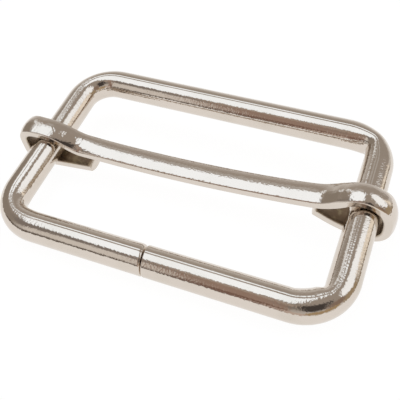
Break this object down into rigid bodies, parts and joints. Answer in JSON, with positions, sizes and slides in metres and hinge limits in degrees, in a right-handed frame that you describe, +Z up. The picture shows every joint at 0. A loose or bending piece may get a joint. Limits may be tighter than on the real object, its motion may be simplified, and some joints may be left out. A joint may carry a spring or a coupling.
{
  "type": "strap slider with a moving bar",
  "caption": "Rectangular frame of bent round wire with a flat bar across it, whose ends curl round the short sides and slide along them to grip webbing.",
  "frame": {"origin": "middle of the bounding box's bottom, on the surface that the slider lies on", "axes": "+X to the right along the frame's long sides, +Y towards the back side, +Z up from the surface; the butt joint is in the front side, and the frame leans back 8.7 degrees on the bar's two curls"},
  "size_m": [0.0527, 0.0308, 0.0089],
  "materials": {
    "frame_plating": "bright nickel plating on drawn steel wire, lightly pitted where the plating is thin",
    "bar_plating": "bright nickel plating on rolled steel strip, with a fine orange-peel texture"
  },
  "bodies": {
    "frame": {"frame_ring": "frame_plating"},
    "bar": {"slide_bar": "bar_plating"}
  },
  "joints": [
    {"name": "bar_slide", "type": "slide", "parent": "frame", "child": "bar", "axis": [0, 0.9885, 0.1512], "range_m": [-0.008, 0.006]}
  ]
}
